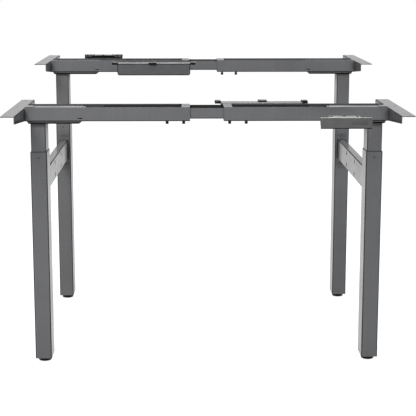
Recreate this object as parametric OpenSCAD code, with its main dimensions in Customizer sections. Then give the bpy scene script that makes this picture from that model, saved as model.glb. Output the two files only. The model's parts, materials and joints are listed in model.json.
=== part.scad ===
// Double sit-stand desk frame: two powered rows that face each other, joined by two side beams.
// Millimetres, +Z up. The origin is on the floor in the middle of the four columns.
// The front row's user stands at -Y. The rear row is the front row turned half round about Z.
// Each corner is drawn once, for the half at +X of a row, and mirrored for the other half.
// A lift piece is drawn with Z = 0 at the underside of its motor tray.

/* [Stance] */
// Distance between the left and right column centres
leg_pitch_x = 1009; // [960:1:1300]
// Distance between the front and rear column centres
leg_pitch_y = 758; // [700:1:900]

/* [Lift] */
// Travel of each row from its lowest to its highest position
stroke = 490; // [400:1:500]
// How far the front row stands above its lowest position
front_raise = 80; // [0:1:400]
// How far the rear row stands above its lowest position
rear_raise = 167; // [0:1:400]
// Gap between a column's mouth and the motor tray at the lowest position
low_gap = 7; // [4:0.5:12]

/* [Outer columns] */
// Width of the outer tube, along the beam
outer_w = 50; // [48:1:60]
// Depth of the outer tube, across the beam
outer_d = 80; // [74:1:90]
// Wall of the outer tube
outer_wall = 1.5; // [1.5:0.1:2]
// Corner radius of the outer tube
outer_corner = 3; // [2.6:0.1:4]
// Length of the outer tube
outer_len = 643; // [620:1:700]
// Thickness of the foot plate welded in the tube's lower end
foot_plate_t = 5; // [4:0.5:8]

/* [Inner columns] */
// Wall of the inner tube
inner_wall = 1.5; // [1.2:0.1:2]
// Corner radius of the inner tube
inner_corner = 2.5; // [2.2:0.1:3]
// Wall of the glide sleeve
glide_t = 0.8; // [0.6:0.1:1.2]
// Length of the glide sleeve inside the tube
glide_len = 60; // [30:1:80]
// Gap between the glide sleeve and the inner tube
slide_gap = 0.2; // [0.1:0.05:0.3]

/* [Feet] */
// Height of a levelling foot below the tube, screwed right in
foot_h = 15; // [12:0.5:20]
// Diameter of the foot's pad
foot_d = 39; // [30:1:46]
// Diameter of the foot's stud
stud_d = 8; // [6:1:10]
// Distance that a foot screws out
foot_travel = 12; // [8:1:15]

/* [Spindles] */
// Diameter of the lifting spindle
spindle_d = 14; // [10:1:16]
// Outer diameter of the nut tube
nut_tube_d = 28; // [26:1:34]
// Height of the nut at the top of its tube
nut_h = 30; // [20:1:40]

/* [Beams] */
// Depth of the outer beam, across the beam
beam_d = 101; // [96:1:110]
// Height of the outer beam
beam_h = 42; // [40:1:50]
// Sheet thickness of the outer beam
beam_wall = 2; // [1.5:0.1:2.5]
// Clear gap between the two outer beams of a row
beam_gap = 101; // [101:1:300]
// Width of the strap across a beam's open end
strap_w = 25; // [20:1:35]

/* [Centre bars] */
// Length of the telescoping centre bar
bar_len = 620; // [560:1:620]
// Height of the centre bar
bar_h = 32; // [28:1:33]
// Sheet thickness of the centre bar
bar_wall = 2; // [1.5:0.1:2.5]
// Side gap between the centre bar and the beam
bar_side_gap = 1; // [0.4:0.1:1.5]

/* [Motor trays] */
// Reach of the tray from the column centre towards the middle
tray_reach_in = 139.5; // [130:0.5:145]
// Reach of the tray from the column centre outwards
tray_reach_out = 31; // [28:0.5:33]
// How far the tray hangs below the beam
tray_drop = 7.5; // [5:0.5:10]
// Sheet thickness of the tray
tray_wall = 1.5; // [1:0.1:2]
// Thickness of the cover plate
cover_t = 1.5; // [1:0.1:2]

/* [Brackets] */
// Length of a desktop bracket
bracket_len = 478; // [420:1:520]
// Shift of the bracket from the column towards the user
bracket_shift = 34; // [20:0.5:60]
// Width of the flange that carries the desktop
flange_w = 41; // [34:1:50]
// Sheet thickness of the bracket
bracket_t = 2.5; // [2:0.1:2.8]
// Distance from the column centre to the bracket's web
bracket_reach = 37; // [36:0.5:45]
// Diameter of a desktop screw hole
desktop_hole_d = 7; // [5:0.5:9]

/* [Side beams] */
// Width of a side beam
side_w = 25; // [20:1:30]
// Height of a side beam
side_h = 70; // [60:1:80]
// Wall of a side beam
side_wall = 2; // [1.5:0.1:3]
// Distance from a column's mouth down to a side beam's centre line
side_drop = 99; // [94:1:200]
// Shift of a side beam from the column centre towards the middle
side_shift = 2; // [0:0.5:3]
// Distance between the panel holes along the side beam
panel_pitch_y = 192; // [100:1:300]
// Distance between the panel holes up the side beam
panel_pitch_z = 40; // [30:1:46]
// Diameter of a panel hole
panel_hole_d = 6.5; // [5:0.5:8]

/* [Control boxes] */
// Length of the casing
box_len = 253; // [220:1:260]
// Depth of the casing
box_d = 73; // [60:1:76]
// Height of the casing
box_h = 40.5; // [34:0.5:44]
// Distance from the middle of the frame to the casing's near end
box_start = 46.5; // [40:0.5:60]
// Distance from the beam's centre line to the casing
box_offset = 93; // [80:1:100]

/* [Keypads] */
// Width of the keypad along its top
pad_w = 146; // [140:1:160]
// Height of the keypad's face
pad_h = 31; // [28:0.5:36]
// Depth of the keypad's casing
pad_d = 39; // [36:1:45]
// Distance from the middle of the frame to the front keypad's centre
front_pad_x = 381; // [330:1:400]
// Distance from the middle of the frame to the rear keypad's centre
rear_pad_x = 377; // [330:1:400]
// Distance from the column line to the keypad's face
pad_reach = 313; // [290:1:330]
// Travel of a key
key_travel = 0.8; // [0.4:0.1:1]

/* [Colours] */
// Powder coat of the steel
steel_colour = "dimgray"; // [dimgray, slategray, black, silver]
// Moulded parts
plastic_colour = "#202022"; // [#202022, #404044, black]
// Screws
screw_colour = "#303032"; // [#303032, silver, black]
// Bare steel
bare_colour = "silver"; // [silver, gainsboro, darkgray]

/* [Hidden] */

$fn = 48;
// Overrun of every cut
over = 1;
front = 0;
rear = 1;
raises = [front_raise, rear_raise];
leg_x = leg_pitch_x / 2;

// Fits
screw_fit = 0.1;
bearing_fit = 0.1;
glide_fit = 0.1;
seat_gap = 0.1;
side_fit = 0.25;
stack_gap = 0.3;

// Columns
tube_top = foot_h + outer_len;
cavity_w = outer_w - 2 * outer_wall;
cavity_d = outer_d - 2 * outer_wall;
inner_inset = glide_fit + glide_t + slide_gap;
inner_w = cavity_w - 2 * inner_inset;
inner_d = cavity_d - 2 * inner_inset;
tube_end_clear = 16;
inner_len = outer_len + low_gap - foot_plate_t - tube_end_clear;
pin_hole_d = 4.4;
pin_drop = 17;
lip_t = 1.2;
lip_inset = 0.5;

// Feet
foot_neck_h = 3;
foot_chamfer = 1.2;
foot_neck_d = 18;
stud_fit = 0.1;

// Spindles
tail_clear = 20;
spindle_drop = outer_len + low_gap - foot_plate_t - tail_clear;
journal_d = 12;
journal_h = 30;
journal_top_gap = 1;
thrust_gap = 0.2;
nut_tube_wall = 4;
nut_tube_len = tail_clear + stroke + nut_h;

// Heights above the underside of the motor tray
bracket_drop = 2.7;
rim_z = tray_drop + beam_h;
flange_z = rim_z - bracket_drop;
cover_top = flange_z - bracket_t - stack_gap;
tray_top = cover_top - cover_t;

// Motor tray
tray_bend = 3;
tray_w = beam_d - 2 * beam_wall - 2 * side_fit;
tray_in = leg_x - tray_reach_in;
tray_out = leg_x + tray_reach_out;
slope_in_run = 16.5;
slope_in_rise = 12.7;
slope_out_run = 4.6;
slope_out_rise = tray_drop;
spindle_hole_d = 24;
lug = 8;
cover_screw_d = 4;
cover_head_d = 7;
cover_head_h = 2.2;
cover_socket_d = 2.5;
cover_socket_h = 1.2;
cover_screw_len = 8;

// Gearmotor
gearbox_air = 4;
gearbox_w = 2 * (tray_reach_out - slope_out_run - tray_wall);
gearbox_d = 62;
gearbox_h = tray_top - tray_wall - gearbox_air;
motor_air = 0.25;
motor_end_gap = 12;
motor_d = gearbox_h - 2 * motor_air;
motor_len = tray_reach_in - slope_in_run - tray_wall - motor_end_gap - gearbox_w / 2;

// Beams
beam_bend = 3;
beam_start = beam_gap / 2;
web_x = leg_x + bracket_reach;
beam_inner_w = beam_d - 2 * beam_wall;
strap_t = 2;
strap_hole_d = 6.6;
bar_drop = 3;
bar_play = 0.2;
bar_w = beam_inner_w - 2 * bar_side_gap;
nut_plate_t = beam_h - beam_wall - bar_drop - bar_h - bar_play;
nut_plate_w = 40;
nut_plate_len = 80;
nut_plate_inset = 4;
lock_inset = 19;
lock_pitch = 50;
lock_d = 6;
lock_head_d = 9;
lock_head_h = 8;
lock_proud = 13.5;
lock_socket_d = 5;
lock_socket_h = 4;
hook_slot_w = 13.5;
hook_slot_h = 3;
hook_slot_rise = 9;
hook_slot_inset = 6;
cutout_in = 2;
cutout_out = 0.5;

// Brackets
web_h_beam = 38.7;
web_h_user = 21.3;
web_h_inner = 25;
bracket_user = bracket_len / 2 + bracket_shift;
bracket_inner = bracket_len / 2 - bracket_shift;
flange_corner = 6;
bracket_bend = 3;
flange_hole_inset = 13.5;
flange_hole_user = 24;
flange_hole_inner = 14;
flange_hole_shift = 7;
tab_w = 20;
tab_user = 7;
tab_inner = 38;
web_screw_d = 6;
web_screw_y = 35;
web_screw_z = 20;
web_screw_head_d = 11;
web_screw_head_h = 3.3;
web_screw_past = 2;
web_socket_d = 4;
web_socket_h = 2;

// Side beams
side_corner = 3;
side_x = leg_x - side_shift;
side_z = tube_top - side_drop;
end_plate_t = 3;
end_plate_rim = 5;
end_plate_past = 31;
end_plate_w = side_w + end_plate_rim;
end_plate_h = side_h + 2 * end_plate_past;
side_end = leg_pitch_y / 2 - outer_d / 2;
bolt_d = 6;
bolt_dx = 7.5;
bolt_past = 18.5;
bolt_dz = side_h / 2 + bolt_past;
bolt_head_d = 10;
bolt_head_h = 3.3;
bolt_socket_d = 4;
bolt_socket_h = 2;

// Control boxes
box_drop = 4;
box_top = rim_z - box_drop;
box_foot = box_top - box_h;
box_mid = box_start + box_len / 2;
box_wall = 2;
box_corner = 7;
lid_t = 3;
board_t = 1.6;
board_end_gap = 19.5;
board_side_gap = 9.5;
board_len = box_len - 2 * (box_wall + board_end_gap);
board_d = box_d - 2 * (box_wall + board_side_gap);
rib_w = 5;
rib_h = 5;
rib_inset = 25;
ear_w = 18.5;
ear_d = 40;
ear_h = 8;
ear_hole_d = 5;
clip_w = 27;
clip_h = 4.5;
clip_shift = 4.5;
clip_over = 10;
clip_on = 32;
port_z = 12;
port_inset = 25;
bay_w = 100;
bay_h = 16;
inlet_w = 28;
inlet_h = 20;

// Keypads
pad_xs = [front_pad_x, rear_pad_x];
pad_drop = 2;
pad_top = rim_z - pad_drop;
pad_foot = pad_top - pad_h;
pad_slant = 3;
pad_wall = 2.5;
pad_round = 2.2;
pad_step = 4.5;
pad_inset = 5;
pad_body_w = pad_w - 2 * pad_inset;
pad_body_h = pad_h - pad_step;
pad_lip_t = 1.5;
pad_lip_w = 88;
pad_lip_shift = 1;
pad_lip_d = 48;
pad_lug = 8;
pad_lug_h = pad_drop;
pad_hole_pitch = 73;
pad_hole_d = 4.4;
pad_hole_back = 31;
collar_d = 7;
pad_port_w = 14;
pad_port_h = 10;
window_w = 14;
window_h = 10;
window_x = 2.5;
pane_t = 1;
key_w = 11;
key_h = 7;
key_corner = 1.5;
key_proud = 1;
key_fit = 0.2;
key_rim = 1;
key_rim_t = 1.5;
key_pitch = 15;
key_x = 38;
key_drop = 14;
key_board_t = 1.6;
key_board_side_gap = 5;
key_board_edge_gap = 2;
key_board_w = pad_body_w - 2 * (pad_wall + key_board_side_gap);
key_board_h = pad_body_h - 2 * (pad_wall + key_board_edge_gap);
key_board_z = pad_foot + pad_wall + key_board_edge_gap;
key_board_back = pad_wall + seat_gap + key_rim_t + key_travel + seat_gap;
boss_d = 6;

function tray_z(row) = tube_top + low_gap + raises[row];

module on_row(row) {
    rotate([0, 0, 180 * row]) translate([0, -leg_pitch_y / 2, 0]) children();
}

module on_half(side) {
    if (side < 0) mirror([1, 0, 0]) children();
    else children();
}

module on_corner(row, side) {
    on_row(row) on_half(side) children();
}

module on_lift(row, side = 1) {
    on_row(row) translate([0, 0, tray_z(row)]) on_half(side) children();
}

module rounded_rect(w, d, r) {
    square([w - 2 * r, d], center = true);
    square([w, d - 2 * r], center = true);
    for (x = [-1, 1], y = [-1, 1])
        translate([x * (w / 2 - r), y * (d / 2 - r)]) circle(r);
}

// Upright rectangle with its foot at y = 0 and its lower corners rounded
module trough_outline(w, h, r) {
    translate([-w / 2, r]) square([w, h - r]);
    translate([r - w / 2, 0]) square([w - 2 * r, h]);
    for (x = [-1, 1]) translate([x * (w / 2 - r), r]) circle(r);
}

// What rounding the corner at the origin takes off a shape that lies at x > 0, y < 0
module edge_cut(r) {
    difference() {
        translate([-over, -r]) square(r + over);
        translate([r, -r]) circle(r);
    }
}

// Folded channel, open at the top, that runs along X from x = 0
module channel(len, w, h, t, r) {
    difference() {
        rotate([90, 0, 90]) linear_extrude(len) trough_outline(w, h, r);
        translate([-over, 0, t]) rotate([90, 0, 90])
            linear_extrude(len + 2 * over) trough_outline(w - 2 * t, h, r - t / 2);
    }
}

module box_tube(len, w, d, r, t, r_in) {
    difference() {
        linear_extrude(len) rounded_rect(w, d, r);
        translate([0, 0, -over]) linear_extrude(len + 2 * over) rounded_rect(w - 2 * t, d - 2 * t, r_in);
    }
}

// Screw with its head on z = 0 and its shank below
module screw(d, len, head_d, head_h, socket_d, socket_h) {
    difference() {
        union() {
            translate([0, 0, -len]) cylinder(d = d, h = len);
            cylinder(d = head_d, h = head_h);
        }
        translate([0, 0, head_h - socket_h]) cylinder(d = socket_d, h = socket_h + over, $fn = 6);
    }
}

module along_y(y) {
    translate([0, y, 0]) rotate([-90, 0, 0]) children();
}

module along_x(x) {
    translate([x, 0, 0]) rotate([0, 90, 0]) children();
}

// Places of the bolts that fix one end plate, in X and Z
module at_bolts() {
    for (x = [-bolt_dx, bolt_dx], z = [-bolt_dz, bolt_dz])
        translate([side_x + x, 0, side_z + z]) children();
}

module outer_tube(row, side) {
    color(steel_colour) on_corner(row, side) difference() {
        translate([leg_x, 0, foot_h]) {
            box_tube(outer_len, outer_w, outer_d, outer_corner, outer_wall, outer_corner - outer_wall);
            linear_extrude(foot_plate_t)
                rounded_rect(outer_w - outer_wall, outer_d - outer_wall, outer_corner);
        }
        translate([leg_x, 0, foot_h - over]) cylinder(d = stud_d + 2 * stud_fit, h = foot_plate_t + 2 * over);
        translate([leg_x, 0, tube_top - pin_drop]) along_y(-outer_d / 2 - over)
            cylinder(d = pin_hole_d, h = outer_d + 2 * over);
        at_bolts() along_y(outer_d / 2 - outer_wall - over)
            cylinder(d = bolt_d + 2 * screw_fit, h = outer_wall + 2 * over);
    }
}

module side_beam(side) {
    tube_len = 2 * (side_end - end_plate_t);
    color(steel_colour) on_half(side) difference() {
        translate([side_x, 0, side_z]) {
            along_y(-tube_len / 2)
                box_tube(tube_len, side_w, side_h, side_corner, side_wall, side_corner - side_wall);
            for (end = [-1, 1]) translate([0, end * (side_end - end_plate_t / 2), 0])
                cube([end_plate_w, end_plate_t, end_plate_h], center = true);
        }
        for (end = [-1, 1]) translate([0, end * (side_end - end_plate_t / 2), 0])
            at_bolts() along_y(-end_plate_t / 2 - over)
                cylinder(d = bolt_d + 2 * screw_fit, h = end_plate_t + 2 * over);
        for (y = [-1, 1], z = [-1, 1])
            translate([side_x - side_w / 2 - over, y * panel_pitch_y / 2, side_z + z * panel_pitch_z / 2])
                along_x(0) cylinder(d = panel_hole_d, h = side_wall + 2 * over);
    }
}

module beam_bolts(side) {
    color(screw_colour) on_half(side) for (turn = [0, 1]) rotate([0, 0, 180 * turn])
        mirror([turn, 0, 0]) at_bolts() translate([0, side_end - end_plate_t, 0]) rotate([90, 0, 0])
            screw(bolt_d, end_plate_t + outer_wall - screw_fit, bolt_head_d, bolt_head_h,
                  bolt_socket_d, bolt_socket_h);
}

module glide_sleeve() {
    hole_w = inner_w + 2 * slide_gap;
    hole_d = inner_d + 2 * slide_gap;
    hole_r = inner_corner + slide_gap;
    translate([leg_x, 0, tube_top]) {
        difference() {
            union() {
                translate([0, 0, -glide_len]) linear_extrude(glide_len)
                    rounded_rect(cavity_w - 2 * glide_fit, cavity_d - 2 * glide_fit,
                                 outer_corner - outer_wall - glide_fit);
                linear_extrude(lip_t) rounded_rect(outer_w - 2 * lip_inset, outer_d - 2 * lip_inset,
                                                   outer_corner);
                translate([0, 0, -pin_drop]) along_y(-outer_d / 2 + lip_inset)
                    cylinder(d = pin_hole_d - 2 * screw_fit, h = outer_d - 2 * lip_inset);
            }
            translate([0, 0, -glide_len - over]) linear_extrude(glide_len + lip_t + 2 * over)
                rounded_rect(hole_w, hole_d, hole_r);
        }
    }
}

module glide_sleeves(side) {
    color(plastic_colour) {
        on_corner(front, side) glide_sleeve();
        on_corner(rear, -side) glide_sleeve();
    }
}

// Fixed nut on its tube, which stands on the foot plate
module nut_tube() {
    nut_r = (spindle_d + 2 * bearing_fit) / 2;
    bore_r = nut_tube_d / 2 - nut_tube_wall;
    translate([leg_x, 0, foot_h + foot_plate_t]) rotate_extrude() polygon([
        [bore_r, 0],
        [nut_tube_d / 2, 0],
        [nut_tube_d / 2, nut_tube_len],
        [nut_r, nut_tube_len],
        [nut_r, nut_tube_len - nut_h],
        [bore_r, nut_tube_len - nut_h]
    ]);
}

module nut_tubes(side) {
    color(bare_colour) {
        on_corner(front, side) nut_tube();
        on_corner(rear, -side) nut_tube();
    }
}

module foot(row, side) {
    pad_z = foot_h - foot_neck_h;
    stud_top = foot_h + foot_plate_t + foot_travel;
    color(plastic_colour) on_corner(row, side) translate([leg_x, 0, 0]) rotate_extrude() polygon([
        [0, 0],
        [foot_d / 2 - foot_chamfer, 0],
        [foot_d / 2, foot_chamfer],
        [foot_d / 2, pad_z - foot_chamfer],
        [foot_d / 2 - foot_chamfer, pad_z],
        [foot_neck_d / 2, pad_z],
        [foot_neck_d / 2, foot_h - seat_gap],
        [stud_d / 2, foot_h - seat_gap],
        [stud_d / 2, stud_top],
        [0, stud_top]
    ]);
}

module inner_tube(row, side) {
    color(steel_colour) on_lift(row, side) translate([leg_x, 0, -inner_len])
        box_tube(inner_len, inner_w, inner_d, inner_corner, inner_wall, inner_corner - inner_wall);
}

module spindle(row, side) {
    shoulder = tray_wall - thrust_gap;
    color(bare_colour) on_lift(row, side) translate([leg_x, 0, 0]) {
        translate([0, 0, -spindle_drop]) cylinder(d = spindle_d, h = spindle_drop + shoulder);
        cylinder(d = journal_d, h = tray_wall + journal_h);
    }
}

module gearmotor(row, side) {
    color(bare_colour) on_lift(row, side) translate([leg_x, 0, tray_wall]) difference() {
        union() {
            translate([-gearbox_w / 2, -gearbox_d / 2, 0]) cube([gearbox_w, gearbox_d, gearbox_h]);
            translate([0, 0, gearbox_h / 2]) along_x(-gearbox_w / 2 - motor_len)
                cylinder(d = motor_d, h = motor_len + gearbox_w / 2);
        }
        translate([0, 0, -over]) cylinder(d = journal_d + 2 * bearing_fit,
                                          h = over + journal_h + journal_top_gap);
    }
}

// Side view of the motor tray, drawn a wall's thickness inside its outline when t is that wall
module tray_outline(t, top) {
    angle_in = atan(slope_in_rise / slope_in_run);
    angle_out = atan(slope_out_rise / slope_out_run);
    polygon([
        [tray_in + t, slope_in_rise - t * tan(angle_in) + t / cos(angle_in)],
        [tray_in + slope_in_run + (t / cos(angle_in) - t) / tan(angle_in), t],
        [tray_out - slope_out_run - (t / cos(angle_out) - t) / tan(angle_out), t],
        [tray_out - t, slope_out_rise - t * tan(angle_out) + t / cos(angle_out)],
        [tray_out - t, top],
        [tray_in + t, top]
    ]);
}

// The tray's block, or with t = tray_wall the room inside it
module tray_block(t, top) {
    intersection() {
        rotate([90, 0, 0]) linear_extrude(tray_w - 2 * t, center = true) tray_outline(t, top);
        translate([0, 0, t]) rotate([90, 0, 90]) linear_extrude(tray_out)
            trough_outline(tray_w - 2 * t, top - t, tray_bend - t);
    }
}

// Places of the screws that hold the motor cover
module at_cover_screws() {
    inset = tray_wall + lug / 2;
    for (x = [tray_in + inset, tray_out - inset], y = [-1, 1])
        translate([x, y * (tray_w / 2 - inset), 0]) children();
}

module motor_tray(row, side) {
    color(steel_colour) on_lift(row, side) difference() {
        union() {
            difference() {
                tray_block(0, tray_top);
                tray_block(tray_wall, tray_top + over);
            }
            at_cover_screws() translate([0, 0, tray_top - lug / 2]) cube(lug, center = true);
        }
        translate([leg_x, 0, -over]) cylinder(d = spindle_hole_d, h = tray_wall + 2 * over);
        at_cover_screws() translate([0, 0, tray_top - lug - over])
            cylinder(d = cover_screw_d + 2 * screw_fit, h = lug + 2 * over);
    }
}

module motor_cover(row, side) {
    cover_w = beam_inner_w - 2 * stack_gap;
    cover_end = web_x - beam_wall - stack_gap;
    color(steel_colour) on_lift(row, side) difference() {
        translate([tray_in, -cover_w / 2, tray_top]) cube([cover_end - tray_in, cover_w, cover_t]);
        at_cover_screws() translate([0, 0, tray_top - over])
            cylinder(d = cover_screw_d + 2 * screw_fit, h = cover_t + 2 * over);
    }
}

// Places of the two lock screws under a beam
module at_lock_screws() {
    for (x = [lock_inset, lock_inset + lock_pitch]) translate([beam_start + x, 0, 0]) children();
}

// Places of the two screws through the bracket's web
module at_web_screws() {
    for (y = [-web_screw_y, web_screw_y]) translate([0, y, tray_drop + web_screw_z]) children();
}

module beam(row, side) {
    slot_x = tray_in + hook_slot_inset;
    color(steel_colour) on_lift(row, side) difference() {
        union() {
            translate([beam_start, 0, tray_drop])
                channel(web_x - beam_start, beam_d, beam_h, beam_wall, beam_bend);
            translate([beam_start, -beam_d / 2, rim_z - strap_t]) cube([strap_w, beam_d, strap_t]);
            translate([beam_start + nut_plate_inset, -nut_plate_w / 2, tray_drop])
                cube([nut_plate_len, nut_plate_w, beam_wall + nut_plate_t]);
            translate([web_x - beam_wall, -beam_d / 2 + beam_bend, tray_drop])
                cube([beam_wall, beam_d - 2 * beam_bend, cover_top - tray_drop]);
            translate([web_x - beam_wall, -beam_d / 2, tray_drop + beam_bend])
                cube([beam_wall, beam_d, cover_top - tray_drop - beam_bend]);
        }
        translate([tray_in + cutout_in, -beam_inner_w / 2, tray_drop - over])
            cube([tray_out + cutout_out - tray_in - cutout_in, beam_inner_w, beam_wall + beam_bend + over]);
        at_lock_screws() translate([0, 0, tray_drop - over])
            cylinder(d = lock_d + 2 * screw_fit, h = beam_wall + nut_plate_t + 2 * over);
        translate([beam_start + strap_w / 2, 0, rim_z - strap_t - over])
            cylinder(d = strap_hole_d, h = strap_t + 2 * over);
        at_web_screws() along_x(web_x - beam_wall - over)
            cylinder(d = web_screw_d + 2 * screw_fit, h = beam_wall + 2 * over);
        translate([slot_x, -beam_d / 2 - over, tray_drop + hook_slot_rise - hook_slot_h / 2])
            cube([hook_slot_w, beam_d + 2 * over, hook_slot_h]);
    }
}

module bracket(row, side) {
    color(steel_colour) on_lift(row, side) difference() {
        union() {
            translate([web_x, 0, 0]) rotate([90, 0, 90]) linear_extrude(bracket_t) polygon([
                [-bracket_user, flange_z],
                [-bracket_user, flange_z - web_h_user],
                [-beam_d / 2, flange_z - web_h_beam],
                [beam_d / 2, flange_z - web_h_beam],
                [bracket_inner, flange_z - web_h_inner],
                [bracket_inner, flange_z]
            ]);
            translate([0, 0, flange_z - bracket_t]) linear_extrude(bracket_t) {
                translate([web_x, -bracket_user]) square([flange_w - flange_corner, bracket_len]);
                translate([web_x, flange_corner - bracket_user])
                    square([flange_w, bracket_len - 2 * flange_corner]);
                for (y = [flange_corner - bracket_user, bracket_inner - flange_corner])
                    translate([web_x + flange_w - flange_corner, y]) circle(flange_corner);
                translate([web_x - tab_w, -tab_user]) square([tab_w + bracket_t, tab_user + tab_inner]);
            }
        }
        // Bend along the fold, on both sides of the tab
        for (span = [[-bracket_user - over, -tab_user], [tab_inner, bracket_inner + over]])
            translate([web_x, span[1], flange_z]) rotate([90, 0, 0]) linear_extrude(span[1] - span[0])
                edge_cut(bracket_bend);
        for (y = [flange_hole_user - bracket_user, -flange_hole_shift, bracket_inner - flange_hole_inner])
            translate([web_x + flange_w - flange_hole_inset, y, flange_z - bracket_t - over])
                cylinder(d = desktop_hole_d, h = bracket_t + 2 * over);
        at_web_screws() along_x(web_x - over)
            cylinder(d = web_screw_d + 2 * screw_fit, h = bracket_t + 2 * over);
    }
}

module screws(row, side) {
    color(screw_colour) on_lift(row, side) {
        at_lock_screws() translate([0, 0, tray_drop - lock_proud + lock_head_h]) rotate([180, 0, 0])
            screw(lock_d, lock_proud - lock_head_h + beam_wall + nut_plate_t,
                  lock_head_d, lock_head_h, lock_socket_d, lock_socket_h);
        at_web_screws() along_x(web_x + bracket_t)
            screw(web_screw_d, bracket_t + beam_wall + web_screw_past,
                  web_screw_head_d, web_screw_head_h, web_socket_d, web_socket_h);
        at_cover_screws() translate([0, 0, cover_top])
            screw(cover_screw_d, cover_screw_len, cover_head_d, cover_head_h, cover_socket_d, cover_socket_h);
    }
}

module centre_bar(row) {
    color(steel_colour) on_lift(row)
        translate([-bar_len / 2, 0, tray_drop + beam_wall + nut_plate_t + bar_play])
            channel(bar_len, bar_w, bar_h, bar_wall, beam_bend);
}

module box_casing() {
    difference() {
        translate([box_mid, box_offset + box_d / 2, box_foot]) difference() {
            rotate([90, 0, 0]) linear_extrude(box_d, center = true)
                trough_outline(box_len, box_h - lid_t - seat_gap, box_corner);
            translate([0, 0, box_wall]) rotate([90, 0, 0])
                linear_extrude(box_d - 2 * box_wall, center = true)
                    trough_outline(box_len - 2 * box_wall, box_h, box_corner - box_wall);
        }
        // Socket bay and mains inlet, on the side that faces the beam
        translate([box_start + port_inset, box_offset - over, box_foot + port_z])
            cube([bay_w, box_wall + 2 * over, bay_h]);
        translate([box_start + box_len - port_inset - inlet_w, box_offset - over, box_foot + port_z])
            cube([inlet_w, box_wall + 2 * over, inlet_h]);
    }
    // Ribs that carry the board
    for (x = [box_start + rib_inset, box_start + box_len - rib_inset - rib_w])
        translate([x, box_offset + box_wall / 2, box_foot + box_wall / 2])
            cube([rib_w, box_d - box_wall, box_wall / 2 + rib_h]);
}

// Lid with its long edges rounded over
module box_lid() {
    translate([box_start, box_offset + box_d / 2, box_top - lid_t]) rotate([90, 0, 90])
        linear_extrude(box_len) {
            translate([lid_t - box_d / 2, 0]) square([box_d - 2 * lid_t, lid_t]);
            intersection() {
                for (y = [-1, 1]) translate([y * (box_d / 2 - lid_t), 0]) circle(lid_t);
                translate([-box_d / 2, 0]) square([box_d, lid_t]);
            }
        }
}

// Boss with an upright screw hole at the casing's end
module box_ear() {
    translate([0, box_offset + box_d - ear_d, rim_z - ear_h]) difference() {
        cube([ear_w, ear_d, ear_h]);
        translate([ear_w / 2, ear_d / 2, -over]) cylinder(d = ear_hole_d, h = ear_h + 2 * over);
    }
}

// Clip that laps over the casing's far edge
module box_clip() {
    gap_z = box_top + seat_gap;
    translate([box_mid + clip_shift - clip_w / 2, box_offset + box_d, 0]) difference() {
        union() {
            translate([0, seat_gap, rim_z - clip_h]) cube([clip_w, clip_over - seat_gap, clip_h]);
            translate([0, -clip_on, gap_z]) cube([clip_w, clip_on + clip_over, rim_z - gap_z]);
        }
        translate([clip_w / 2, clip_over / 2, rim_z - clip_h - over])
            cylinder(d = ear_hole_d, h = clip_h + 2 * over);
    }
}

module control_box(row) {
    color(plastic_colour) on_lift(row) {
        box_casing();
        box_lid();
        translate([box_mid - board_len / 2, box_offset + (box_d - board_d) / 2,
                   box_foot + box_wall + rib_h + seat_gap])
            cube([board_len, board_d, board_t]);
        translate([box_start - ear_w - seat_gap, 0, 0]) box_ear();
        translate([box_start + box_len + seat_gap, 0, 0]) box_ear();
        box_clip();
    }
}

// A keypad is drawn with X = 0 at its centre
module on_pad(row) {
    on_lift(row) translate([pad_xs[row], 0, 0]) children();
}

// Front view of the keypad, whose inboard end slants in towards its foot
module pad_outline(w, h, slant) {
    polygon([[slant - w / 2, 0], [w / 2, 0], [w / 2, h], [-w / 2, h]]);
}

// Place of a key on the keypad's face
module at_key(i) {
    translate([key_x + key_pitch * (i - 1), -pad_reach, pad_top - key_drop]) children();
}

// Key-shaped bar along Y, centred on its middle
module key_bar(fit, len) {
    rotate([90, 0, 0]) linear_extrude(len, center = true)
        rounded_rect(key_w + 2 * fit, key_h + 2 * fit, key_corner + fit);
}

// Casing behind the face, closed all round
module pad_body() {
    translate([0, pad_d / 2 - pad_reach, pad_foot]) difference() {
        rotate([90, 0, 0]) linear_extrude(pad_d, center = true)
            pad_outline(pad_body_w, pad_body_h, pad_slant);
        translate([0, 0, pad_wall]) rotate([90, 0, 0]) linear_extrude(pad_d - 2 * pad_wall, center = true)
            pad_outline(pad_body_w - 2 * pad_wall, pad_body_h - 2 * pad_wall, pad_slant);
        translate([pad_body_w / 2 - 2 * pad_wall - pad_port_w, pad_d / 2 - pad_wall - over,
                   (pad_body_h - pad_port_h) / 2])
            cube([pad_port_w, pad_wall + 2 * over, pad_port_h]);
    }
}

// Front plate with its top edge rounded over
module pad_plate() {
    difference() {
        translate([0, pad_wall / 2 - pad_reach, pad_foot]) rotate([90, 0, 0])
            linear_extrude(pad_wall, center = true) pad_outline(pad_w, pad_h, pad_slant);
        translate([0, -pad_reach, pad_top]) rotate([90, 0, 90])
            linear_extrude(pad_w + 2 * over, center = true) edge_cut(pad_round);
    }
}

// Lip that is screwed under the desktop, which its two collars and the lug at its back touch
module pad_lip() {
    translate([-pad_lip_shift, -pad_reach, pad_top]) difference() {
        union() {
            translate([-pad_lip_w / 2, pad_round, -pad_lip_t])
                cube([pad_lip_w, pad_lip_d - pad_round, pad_lip_t]);
            for (x = [-1, 1]) translate([x * pad_hole_pitch / 2, pad_hole_back, -pad_lip_t])
                cylinder(d = collar_d, h = pad_lip_t + pad_drop);
            translate([-pad_lug / 2, pad_lip_d - pad_lug, -pad_lip_t])
                cube([pad_lug, pad_lug, pad_lip_t + pad_lug_h]);
        }
        for (x = [-1, 1]) translate([x * pad_hole_pitch / 2, pad_hole_back, -pad_lip_t - over])
            cylinder(d = pad_hole_d, h = pad_lip_t + pad_drop + 2 * over);
    }
}

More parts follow.
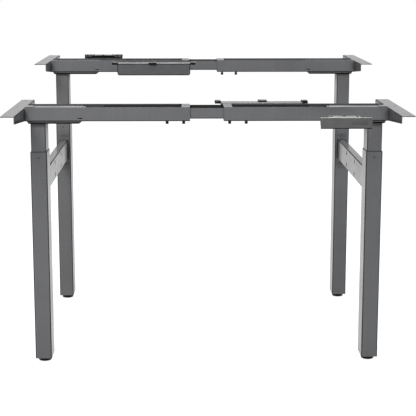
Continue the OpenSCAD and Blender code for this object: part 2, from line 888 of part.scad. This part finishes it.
module pad_casing() {
    difference() {
        union() {
            pad_body();
            pad_plate();
            pad_lip();
        }
        for (i = [0:2]) at_key(i) key_bar(key_fit, 2 * (pad_wall + over));
        translate([window_x - window_w / 2, -pad_reach - over, pad_top - key_drop - window_h / 2])
            cube([window_w, over + pane_t + seat_gap, window_h]);
    }
    for (x = [-1, 1])
        translate([x * (key_board_w / 2 - boss_d), 0, key_board_z + boss_d / 2])
            along_y(pad_wall / 2 - pad_reach)
                cylinder(d = boss_d, h = key_board_back - seat_gap - pad_wall / 2);
}

module keypad(row) {
    color(plastic_colour) on_pad(row) {
        pad_casing();
        // Pane of the height display
        translate([window_x - window_w / 2 + seat_gap, -pad_reach,
                   pad_top - key_drop - window_h / 2 + seat_gap])
            cube([window_w - 2 * seat_gap, pane_t, window_h - 2 * seat_gap]);
        // Board behind the keys
        translate([-key_board_w / 2, key_board_back - pad_reach, key_board_z])
            cube([key_board_w, key_board_t, key_board_h]);
    }
}

module key(row, i) {
    rim_y = pad_wall + seat_gap;
    color(plastic_colour) on_pad(row) at_key(i) {
        translate([0, (rim_y - key_proud) / 2, 0]) key_bar(0, rim_y + key_proud);
        translate([0, rim_y + key_rim_t / 2, 0]) key_bar(key_rim, key_rim_t);
    }
}

outer_tube(front, -1);  // front_left_outer_tube
outer_tube(front, 1);  // front_right_outer_tube
outer_tube(rear, 1);  // rear_left_outer_tube
outer_tube(rear, -1);  // rear_right_outer_tube
side_beam(-1);  // left_side_beam
side_beam(1);  // right_side_beam
beam_bolts(-1);  // left_beam_bolts
beam_bolts(1);  // right_beam_bolts
glide_sleeves(-1);  // left_glide_sleeves
glide_sleeves(1);  // right_glide_sleeves
nut_tubes(-1);  // left_nut_tubes
nut_tubes(1);  // right_nut_tubes
foot(front, -1);  // front_left_foot
foot(front, 1);  // front_right_foot
foot(rear, 1);  // rear_left_foot
foot(rear, -1);  // rear_right_foot
inner_tube(front, -1);  // front_left_inner_tube
inner_tube(front, 1);  // front_right_inner_tube
inner_tube(rear, 1);  // rear_left_inner_tube
inner_tube(rear, -1);  // rear_right_inner_tube
spindle(front, -1);  // front_left_spindle
spindle(front, 1);  // front_right_spindle
spindle(rear, 1);  // rear_left_spindle
spindle(rear, -1);  // rear_right_spindle
gearmotor(front, -1);  // front_left_gearmotor
gearmotor(front, 1);  // front_right_gearmotor
gearmotor(rear, 1);  // rear_left_gearmotor
gearmotor(rear, -1);  // rear_right_gearmotor
motor_tray(front, -1);  // front_left_motor_tray
motor_tray(front, 1);  // front_right_motor_tray
motor_tray(rear, 1);  // rear_left_motor_tray
motor_tray(rear, -1);  // rear_right_motor_tray
motor_cover(front, -1);  // front_left_motor_cover
motor_cover(front, 1);  // front_right_motor_cover
motor_cover(rear, 1);  // rear_left_motor_cover
motor_cover(rear, -1);  // rear_right_motor_cover
beam(front, -1);  // front_left_beam
beam(front, 1);  // front_right_beam
beam(rear, 1);  // rear_left_beam
beam(rear, -1);  // rear_right_beam
bracket(front, -1);  // front_left_bracket
bracket(front, 1);  // front_right_bracket
bracket(rear, 1);  // rear_left_bracket
bracket(rear, -1);  // rear_right_bracket
screws(front, -1);  // front_left_screws
screws(front, 1);  // front_right_screws
screws(rear, 1);  // rear_left_screws
screws(rear, -1);  // rear_right_screws
centre_bar(front);  // front_centre_bar
centre_bar(rear);  // rear_centre_bar
control_box(front);  // front_control_box
control_box(rear);  // rear_control_box
keypad(front);  // front_keypad
keypad(rear);  // rear_keypad
key(front, 0);  // front_up_key
key(front, 1);  // front_down_key
key(front, 2);  // front_memory_key
key(rear, 0);  // rear_up_key
key(rear, 1);  // rear_down_key
key(rear, 2);  // rear_memory_key
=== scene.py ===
"""Looks of a double sit-stand desk frame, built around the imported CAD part. Metres, +Z up."""

import json
import math

import bpy
from mathutils import Matrix, Vector


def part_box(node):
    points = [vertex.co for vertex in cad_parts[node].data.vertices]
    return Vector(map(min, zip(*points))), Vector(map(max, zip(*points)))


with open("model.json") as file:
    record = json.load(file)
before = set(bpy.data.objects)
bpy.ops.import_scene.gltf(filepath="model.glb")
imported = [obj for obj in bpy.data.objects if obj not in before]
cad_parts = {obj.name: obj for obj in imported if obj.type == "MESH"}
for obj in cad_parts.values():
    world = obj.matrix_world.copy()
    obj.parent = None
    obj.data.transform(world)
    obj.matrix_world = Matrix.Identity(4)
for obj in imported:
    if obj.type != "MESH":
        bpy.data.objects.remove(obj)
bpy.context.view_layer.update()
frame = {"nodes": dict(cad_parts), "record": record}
SLOT_OF = {s["node"]: s["material_slot"] for s in frame["record"]["subparts"]}

CAMERA_AT = (-0.0678, -4.0519, 1.1814)
CAMERA_YAW = math.radians(1.1206)
CAMERA_PITCH = math.radians(10.8168)
CAMERA_ROLL = math.radians(0.022)
FOCAL_PIXELS = 1221.2
PHOTO_PIXELS = 416
SENSOR = 36.0


def corners(name):
    """A node's lowest and highest corners, with X and Y taken without their signs."""
    low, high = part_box(name)
    xs = sorted((abs(low.x), abs(high.x)))
    ys = sorted((abs(low.y), abs(high.y)))
    return Vector((xs[0], ys[0], low.z)), Vector((xs[1], ys[1], high.z))


# Limits for what the materials pick out (painted shade, painted highlights and black parts), in metres, each
# at the face that it is for or a little beside it
BEAM_LOW, BEAM_HIGH = corners("front_right_beam")
BEAM_RIM = BEAM_HIGH.z - 0.0003
BEAM_INSIDE = (BEAM_LOW.y + 0.0024, BEAM_HIGH.y - 0.0024)
CHANNEL_TOP = BEAM_HIGH.z - 0.001
STRAP_END = BEAM_LOW.x + 0.0252
BRACKET_WEB = (BEAM_HIGH.x - 0.0002, BEAM_HIGH.x + 0.0003)
BAR_LOW, BAR_HIGH = corners("front_centre_bar")
BAR_INSIDE = (BAR_LOW.y + 0.002, BAR_HIGH.y - 0.002)
TRAY_EDGE = corners("front_right_motor_tray")[0].z + 0.0045
SIDE_LOW, SIDE_HIGH = corners("right_side_beam")
SIDE_MIDDLE = (SIDE_LOW.z + SIDE_HIGH.z) / 2
SIDE_TUBE_HALF = 0.036
SIDE_INNER = SIDE_LOW.x + 0.004
END_PLATE = SIDE_HIGH.y - 0.0032
PANEL_HOLE_Y = 0.096
PANEL_HOLE_RISE = 0.02
PANEL_RING = 0.008
BOX_LOW, BOX_HIGH = corners("front_control_box")
BOX_LID = (BOX_LOW.x + 0.0211, BOX_HIGH.x - 0.0211)
BOX_CLIP = BOX_LOW.y + 0.0099
PAD_LOW, PAD_HIGH = corners("front_keypad")
PAD_FACE = (PAD_HIGH.y - 0.0035, PAD_HIGH.y - 0.0018)
PAD_LUG = PAD_LOW.y + 0.0085
ROW_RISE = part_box("rear_keypad")[1].z - PAD_HIGH.z

FRAME_GREY = (0.142, 0.143, 0.149)
KEYPAD_GREY = (0.135, 0.137, 0.132)
NEAR_BLACK = (0.012, 0.012, 0.013)


def make_camera():
    data = bpy.data.cameras.new("photo_camera")
    camera = bpy.data.objects.new("photo_camera", data)
    bpy.context.scene.collection.objects.link(camera)
    data.sensor_width = SENSOR
    data.lens = SENSOR * FOCAL_PIXELS / PHOTO_PIXELS
    data.clip_end = 100.0
    turn = (Matrix.Rotation(-CAMERA_YAW, 4, "Z")
            @ Matrix.Rotation(math.pi / 2 - CAMERA_PITCH, 4, "X")
            @ Matrix.Rotation(CAMERA_ROLL, 4, "Z"))
    camera.matrix_world = Matrix.Translation(CAMERA_AT) @ turn
    bpy.context.scene.camera = camera


class Shader:
    """One node tree, with short calls for its nodes."""

    def __init__(self, tree):
        self.nodes = tree.nodes
        self.links = tree.links
        self.nodes.clear()

    def put(self, socket, value):
        if isinstance(value, bpy.types.NodeSocket):
            self.links.new(value, socket)
        else:
            socket.default_value = value

    def node(self, kind, **props):
        node = self.nodes.new("ShaderNode" + kind)
        for key, value in props.items():
            setattr(node, key, value)
        return node

    def math(self, op, a, b=None):
        node = self.node("Math", operation=op)
        self.put(node.inputs[0], a)
        if b is not None:
            self.put(node.inputs[1], b)
        return node.outputs[0]

    def span(self, value, low, high, to_low, to_high):
        node = self.node("MapRange", interpolation_type="SMOOTHSTEP")
        for name, v in (("Value", value), ("From Min", low), ("From Max", high),
                        ("To Min", to_low), ("To Max", to_high)):
            self.put(node.inputs[name], v)
        return node.outputs[0]

    def noise(self, vector, scale, detail=2.0, rough=0.5):
        node = self.node("TexNoise")
        self.put(node.inputs["Vector"], vector)
        node.inputs["Scale"].default_value = scale
        node.inputs["Detail"].default_value = detail
        node.inputs["Roughness"].default_value = rough
        return node.outputs["Fac"]

    def stretch(self, vector, scale):
        node = self.node("Mapping")
        self.put(node.inputs["Vector"], vector)
        node.inputs["Scale"].default_value = scale
        return node.outputs[0]

    def tint(self, colour, factor):
        """The colour, made darker or lighter by a factor socket."""
        node = self.node("VectorMath", operation="SCALE")
        node.inputs[0].default_value = colour
        self.put(node.inputs["Scale"], factor)
        return node.outputs[0]

    def bump(self, height, strength, distance):
        node = self.node("Bump")
        self.put(node.inputs["Height"], height)
        node.inputs["Strength"].default_value = strength
        node.inputs["Distance"].default_value = distance
        return node.outputs[0]

    def spread(self, vector):
        node = self.node("SeparateXYZ")
        self.put(node.inputs[0], vector)
        return node.outputs


def unsigned(sh, vector):
    size = sh.node("VectorMath", operation="ABSOLUTE")
    sh.put(size.inputs[0], vector)
    return sh.spread(size.outputs[0])


def material(name):
    mat = bpy.data.materials.new(name)
    mat.use_nodes = True
    sh = Shader(mat.node_tree)
    out = sh.node("OutputMaterial")
    bsdf = sh.node("BsdfPrincipled")
    sh.links.new(bsdf.outputs[0], out.inputs[0])
    return mat, sh, bsdf


def bend_mask(sh):
    """1 on bends and slopes, 0 on the flat faces that square sheet metal has."""
    coords = sh.node("TexCoord")
    x, y, z = unsigned(sh, coords.outputs["Normal"])
    most = sh.math("MAXIMUM", sh.math("MAXIMUM", x, y), z)
    return coords, sh.span(most, 0.985, 0.9995, 1.0, 0.0)


def crevice(sh, place, reach, low, high, dark):
    """Painted shade: 1 in the open, falling to the dark share inside channels, gaps and corners, but not near
    the floor.
    """
    node = sh.node("AmbientOcclusion", samples=8)
    node.inputs["Distance"].default_value = reach
    hidden = sh.span(node.outputs["AO"], low, high, dark, 1.0)
    return sh.math("MAXIMUM", hidden, sh.span(sh.spread(place)[2], 0.1, 0.25, 1.0, 0.0))


def product(sh, *factors):
    total = factors[0]
    for factor in factors[1:]:
        total = sh.math("MULTIPLY", total, factor)
    return total


def outside(sh, value, low, high):
    return sh.math("MAXIMUM", sh.math("LESS_THAN", value, low), sh.math("GREATER_THAN", value, high))


def inside_of(sh, value, low, high):
    return sh.math("MULTIPLY", sh.math("GREATER_THAN", value, low), sh.math("LESS_THAN", value, high))


def row_place(sh, coords):
    """X and Y without their signs, and the height as if both rows stood as high as the front row."""
    x, y, _ = unsigned(sh, coords.outputs["Object"])
    _, real_y, z = sh.spread(coords.outputs["Object"])
    rise = sh.math("MULTIPLY", sh.math("GREATER_THAN", real_y, 0.0), ROW_RISE)
    return x, y, sh.math("SUBTRACT", z, rise)


def channel_painted_shade(inside_y):
    """Painted shade: marks of 1 inside a channel, between its walls and below its upper edges."""
    def marks(sh, coords):
        _, y, z = row_place(sh, coords)
        return sh.math("MULTIPLY", inside_of(sh, y, *inside_y), sh.math("LESS_THAN", z, CHANNEL_TOP))
    return marks


def tray_painted_shade(sh, coords):
    """Painted shade: 1 along the lower edge of a motor tray."""
    return sh.math("LESS_THAN", row_place(sh, coords)[2], TRAY_EDGE)


def side_marks(sh, coords):
    """1 beside a side beam's tube on its end plates, for painted shade there, and around the panel holes of
    its inner face, which are darkened too.
    """
    x, y, z = unsigned(sh, coords.outputs["Object"])
    across = sh.math("SUBTRACT", y, PANEL_HOLE_Y)
    height = sh.math("ABSOLUTE", sh.math("SUBTRACT", z, SIDE_MIDDLE))
    up = sh.math("SUBTRACT", height, PANEL_HOLE_RISE)
    apart = sh.math("ADD", sh.math("MULTIPLY", across, across), sh.math("MULTIPLY", up, up))
    # Painted shade on the end plates beside the tube
    plate = sh.math("MULTIPLY", sh.math("GREATER_THAN", y, END_PLATE),
                    sh.math("LESS_THAN", height, SIDE_TUBE_HALF))
    ring = sh.math("MULTIPLY", sh.math("LESS_THAN", apart, PANEL_RING ** 2),
                   sh.math("LESS_THAN", x, SIDE_INNER))
    return sh.math("MAXIMUM", ring, plate)


def paint(name, colour=FRAME_GREY, inside=0.03, gloss=0.5, marks=None):
    """Powder coat: fine orange peel and faint drawing lines. Shade is painted into it: it is darker on bends
    and undersides, on the inner face of a bracket's web and on a beam's strap, and in gaps it falls to the
    share inside. It is also darker on what marks picks out."""
    mat, sh, bsdf = material(name)
    coords, bend = bend_mask(sh)
    place = coords.outputs["Object"]
    # Painted shade on undersides: down is 1 on faces that look down
    down = sh.span(sh.spread(coords.outputs["Normal"])[2], -0.9, -0.15, 1.0, 0.0)
    patch = sh.noise(place, 9.0, 3.0)
    grain = sh.noise(place, 700.0, 2.0, 0.6)
    lines = sh.noise(sh.stretch(place, (260.0, 260.0, 2.0)), 1.0, 3.0, 0.6)
    shade = sh.math("ADD", sh.span(patch, 0.3, 0.7, 0.95, 1.04), sh.span(lines, 0.3, 0.7, -0.03, 0.03))
    shade = sh.math("ADD", shade, sh.span(grain, 0.3, 0.7, -0.05, 0.05))
    x, _, z = row_place(sh, coords)
    # Painted shade on the inner face of a bracket's web and on the top of a beam's strap
    web = inside_of(sh, x, *BRACKET_WEB)
    strap = sh.math("MULTIPLY", sh.math("LESS_THAN", x, STRAP_END), sh.math("GREATER_THAN", z, BEAM_RIM))
    # Painted shade in channels, gaps and corners, from ambient occlusion
    reached = crevice(sh, place, 0.15, 0.3, 0.78, inside)
    within = marks(sh, coords) if marks else 0.0
    # The colour is made darker on what marks picks out, and painted shade darkens it on bends, undersides and
    # crevices, on the bracket web and on the strap top
    shade = product(sh, shade, sh.span(within, 0.0, 1.0, 1.0, 0.1), sh.span(bend, 0.0, 1.0, 1.0, 0.05),
                    sh.span(down, 0.0, 1.0, 1.0, 0.2), reached, sh.span(web, 0.0, 1.0, 1.0, 0.3),
                    sh.span(strap, 0.0, 1.0, 1.0, 0.8))
    sh.put(bsdf.inputs["Base Color"], sh.tint(colour, shade))
    # Roughness rises where shade is painted and on what marks picks out
    painted_shade_spots = sh.math("MAXIMUM", sh.math("MAXIMUM", bend, strap), sh.math("SUBTRACT", 1.0, reached))
    painted_shade_spots = sh.math("MAXIMUM", painted_shade_spots, within)
    rough = sh.math("ADD", sh.span(patch, 0.3, 0.7, 0.16, 0.22), sh.math("MULTIPLY", painted_shade_spots, 0.5))
    sh.put(bsdf.inputs["Roughness"], rough)
    sh.put(bsdf.inputs["Normal"], sh.bump(grain, 0.12, 0.0003))
    bsdf.inputs["Specular IOR Level"].default_value = gloss
    return mat


def mottle(sh, place):
    grain = sh.noise(place, 1400.0, 2.0, 0.6)
    patch = sh.noise(place, 30.0, 3.0)
    shade = sh.math("ADD", sh.span(patch, 0.3, 0.7, 0.93, 1.05), sh.span(grain, 0.3, 0.7, -0.08, 0.08))
    return grain, patch, shade


def plastic(name, colour, rough):
    mat, sh, bsdf = material(name)
    grain, patch, shade = mottle(sh, sh.node("TexCoord").outputs["Object"])
    sh.put(bsdf.inputs["Base Color"], sh.tint(colour, shade))
    sh.put(bsdf.inputs["Roughness"], sh.span(patch, 0.3, 0.7, rough - 0.04, rough + 0.05))
    sh.put(bsdf.inputs["Normal"], sh.bump(grain, 0.3, 0.0003))
    bsdf.inputs["Specular IOR Level"].default_value = 0.2
    return mat


def two_tone(name, colour, rough, black_and_shade_mask, painted_highlight_mask=None):
    """Moulded casing in grey, with its lesser parts in black plastic. Painted shade darkens its bends,
    crevices and some edges, and painted highlights make its upper edges paler.
    """
    mat, sh, bsdf = material(name)
    coords, bend = bend_mask(sh)
    grain, patch, shade = mottle(sh, coords.outputs["Object"])
    place = row_place(sh, coords)
    black = black_and_shade_mask(sh, *place)
    # Painted highlights: up-facing parts that the highlight mask picks out are made four times paler, without
    # bend shade or black
    if painted_highlight_mask:
        up = sh.math("GREATER_THAN", sh.spread(coords.outputs["Normal"])[2], 0.6)
        light = sh.math("MULTIPLY", up, painted_highlight_mask(sh, *place))
        unlit = sh.math("SUBTRACT", 1.0, light)
        shade = sh.math("MULTIPLY", shade, sh.span(light, 0.0, 1.0, 1.0, 4.0))
        black = sh.math("MULTIPLY", black, unlit)
        bend = sh.math("MULTIPLY", bend, unlit)
    # Painted shade on bends and in crevices; what the black mask picks out is black, partly black plastic and
    # partly painted shade
    shade = product(sh, shade, sh.span(bend, 0.0, 1.0, 1.0, 0.1), sh.span(black, 0.0, 1.0, 1.0, 0.06),
                    crevice(sh, coords.outputs["Object"], 0.012, 0.3, 0.8, 0.4))
    sh.put(bsdf.inputs["Base Color"], sh.tint(colour, shade))
    sh.put(bsdf.inputs["Roughness"], sh.span(patch, 0.3, 0.7, rough - 0.04, rough + 0.04))
    bsdf.inputs["Specular IOR Level"].default_value = 0.15
    sh.put(bsdf.inputs["Normal"], sh.bump(grain, 0.2, 0.0003))
    return mat


def box_black_and_shade(sh, x, y, z):
    """The control box's clip and ears in black plastic, which stand out over its lid, and painted shade along
    the casing's ends and lower edge.
    """
    over_lid = sh.math("GREATER_THAN", z, BOX_HIGH.z - 0.0039)
    fittings = sh.math("MAXIMUM", sh.math("LESS_THAN", y, BOX_CLIP), over_lid)
    # Painted shade: a dark band along the casing's ends and lower edge
    ends = sh.math("MAXIMUM", outside(sh, x, *BOX_LID), sh.math("LESS_THAN", z, BOX_LOW.z + 0.003))
    return sh.math("MAXIMUM", fittings, ends)


def pad_black_and_shade(sh, x, y, z):
    """The keypad's black housing, lug and collars, behind its face, and painted shade along the foot of its
    face.
    """
    off_top = outside(sh, z, PAD_HIGH.z - 0.0036, PAD_HIGH.z - 0.0018)
    behind = sh.math("MULTIPLY", sh.math("LESS_THAN", y, PAD_FACE[1]), off_top)
    # The foot of the face is painted shade
    return sh.math("MAXIMUM", behind, sh.math("LESS_THAN", z, PAD_LOW.z + 0.0025))


def pad_painted_highlight(sh, x, y, z):
    """Painted highlights on the upper edge of the keypad's face and the tops of its two collars, without the
    lug behind them.
    """
    collars = sh.math("MULTIPLY", sh.math("GREATER_THAN", z, PAD_HIGH.z - 0.0008),
                      sh.math("GREATER_THAN", y, PAD_LUG))
    return sh.math("MAXIMUM", sh.math("GREATER_THAN", y, PAD_FACE[0]), collars)


def steel(name, colour, rough, stretch):
    mat, sh, bsdf = material(name)
    place = sh.node("TexCoord").outputs["Object"]
    lines = sh.noise(sh.stretch(place, stretch), 1.0, 3.0, 0.6)
    patch = sh.noise(place, 40.0, 3.0)
    shade = sh.math("ADD", sh.span(patch, 0.3, 0.7, 0.9, 1.05), sh.span(lines, 0.3, 0.7, -0.08, 0.08))
    sh.put(bsdf.inputs["Base Color"], sh.tint(colour, shade))
    bsdf.inputs["Metallic"].default_value = 1.0
    sh.put(bsdf.inputs["Roughness"], sh.span(lines, 0.3, 0.7, rough - 0.06, rough + 0.06))
    sh.put(bsdf.inputs["Normal"], sh.bump(lines, 0.1, 0.0002))
    return mat


MATERIALS = {
    "frame_paint": paint("frame_paint"),
    "beam": paint("beam_paint", marks=channel_painted_shade(BEAM_INSIDE)),
    "centre_bar": paint("bar_paint", marks=channel_painted_shade(BAR_INSIDE)),
    "side_beam": paint("side_paint", marks=side_marks),
    # Painted light: the cover's paint is a paler copy of the frame grey, so that its top looks lit, with
    # weaker painted crevice shade
    "motor_cover": paint("cover_paint", (0.31, 0.31, 0.315), inside=0.7),
    # Painted shade: the tray's grey is darker than the frame grey, and its lower edge is darker still
    "motor_tray": paint("tray_paint", (0.115, 0.115, 0.119), gloss=0.05, marks=tray_painted_shade),
    "glide_sleeves": plastic("sleeve_plastic", (0.03, 0.03, 0.031), 0.5),
    "black_plastic": plastic("black_plastic", NEAR_BLACK, 0.45),
    "control_box": two_tone("casing_plastic", (0.105, 0.106, 0.111), 0.55, box_black_and_shade),
    "keypad": two_tone("keypad_plastic", KEYPAD_GREY, 0.35, pad_black_and_shade, pad_painted_highlight),
    "rear_keypad": two_tone("rear_keypad_plastic", KEYPAD_GREY, 0.35, pad_black_and_shade),
    "key_plastic": plastic("key_plastic", (0.12, 0.122, 0.117), 0.35),
    "black_screws": plastic("black_screws", NEAR_BLACK, 0.35),
    "zinc_steel": steel("zinc_steel", (0.55, 0.55, 0.56), 0.35, (300.0, 300.0, 6.0)),
    "bright_steel": steel("bright_steel", (0.62, 0.62, 0.63), 0.22, (4.0, 4.0, 900.0)),
    "motor_steel": steel("motor_steel", (0.4, 0.4, 0.41), 0.38, (6.0, 300.0, 300.0)),
}


def round_edges(obj, width):
    weld = obj.modifiers.new("weld", "WELD")
    weld.merge_threshold = 0.00001
    bevel = obj.modifiers.new("edges", "BEVEL")
    bevel.width = width
    bevel.segments = 2
    bevel.limit_method = "ANGLE"
    bevel.angle_limit = math.radians(35)
    bevel.harden_normals = True


# Pieces that look unlike the rest of their slot, by the end of their name, the later ones first
KINDS = ("control_box", "keypad", "motor_cover", "motor_tray", "centre_bar", "beam", "side_beam",
         "glide_sleeves", "rear_keypad")
EDGE = {"frame_paint": 0.0006, "casing_plastic": 0.0006, "black_plastic": 0.0003}
for name, node in frame["nodes"].items():
    slot = SLOT_OF[name]
    look = slot
    for kind in KINDS:
        if name.endswith(kind):
            look = kind
    node.data.materials.clear()
    node.data.materials.append(MATERIALS[look])
    if slot in EDGE:
        round_edges(node, EDGE[slot])


# Strength of the white backdrop and floor in reflections
MIRRORED = 0.62


def make_world():
    world = bpy.data.worlds.new("studio")
    bpy.context.scene.world = world
    world.use_nodes = True
    sh = Shader(world.node_tree)
    out = sh.node("OutputWorld")
    back = sh.node("Background")
    sh.links.new(back.outputs[0], out.inputs[0])
    x, _, z = sh.spread(sh.node("TexCoord").outputs["Generated"])
    sides = sh.span(sh.math("ABSOLUTE", x), 0.35, 0.9, 1.0, 0.35)
    light = sh.math("MAXIMUM", sides, sh.span(z, 0.5, 0.9, 0.0, 1.0))
    path = sh.node("LightPath")
    level = sh.span(path.outputs["Is Glossy Ray"], 0.0, 1.0, 0.44, MIRRORED)
    seen = sh.math("MULTIPLY", light, level)
    sh.put(back.inputs["Strength"], sh.math("MAXIMUM", seen, path.outputs["Is Camera Ray"]))
    back.inputs["Color"].default_value = (1, 1, 1, 1)


def make_floor():
    bpy.ops.mesh.primitive_plane_add(size=40)
    floor = bpy.context.object
    floor.name = "floor"
    mat, sh, bsdf = material("floor")
    bsdf.inputs["Base Color"].default_value = (0.3, 0.3, 0.3, 1)
    bsdf.inputs["Roughness"].default_value = 0.9
    bsdf.inputs["Specular IOR Level"].default_value = 0
    bsdf.inputs["Emission Color"].default_value = (1, 1, 1, 1)
    path = sh.node("LightPath")
    seen = sh.math("MULTIPLY", path.outputs["Is Camera Ray"], 0.9)
    mirrored = sh.math("MULTIPLY", path.outputs["Is Glossy Ray"], MIRRORED)
    sh.put(bsdf.inputs["Emission Strength"], sh.math("MAXIMUM", seen, mirrored))
    floor.data.materials.append(mat)


def soft_light(name, where, aim, power, size, colour=(1, 1, 1), mirrored=True):
    light = bpy.data.lights.new(name, "AREA")
    light.energy = power
    light.size = size
    light.color = colour
    lamp = bpy.data.objects.new(name, light)
    bpy.context.scene.collection.objects.link(lamp)
    lamp.visible_glossy = mirrored
    lamp.location = where
    lamp.rotation_euler = (Vector(aim) - Vector(where)).to_track_quat("-Z", "Y").to_euler()


make_camera()
make_world()
make_floor()
soft_light("key_light", (-1.2, -1.9, 2.4), (-0.2, -0.4, 0.75), 52, 1.0, (1.0, 0.995, 0.98))
soft_light("fill_light", (1.5, -1.9, 2.4), (0.2, -0.4, 0.7), 17, 1.0, (0.86, 0.92, 1.0))
soft_light("back_light", (0.0, 3.2, 2.6), (0, 0.4, 0.6), 40, 1.6)
soft_light("top_light", (0, 0.2, 4.0), (0, 0, 0.8), 60, 2.5)
soft_light("left_light", (-3.2, 0.3, 1.5), (0, 0.3, 0.5), 26, 1.5, mirrored=False)
soft_light("right_light", (3.2, 0.3, 1.5), (0, 0.3, 0.5), 26, 1.5, mirrored=False)
bpy.context.scene.view_settings.view_transform = "Standard"
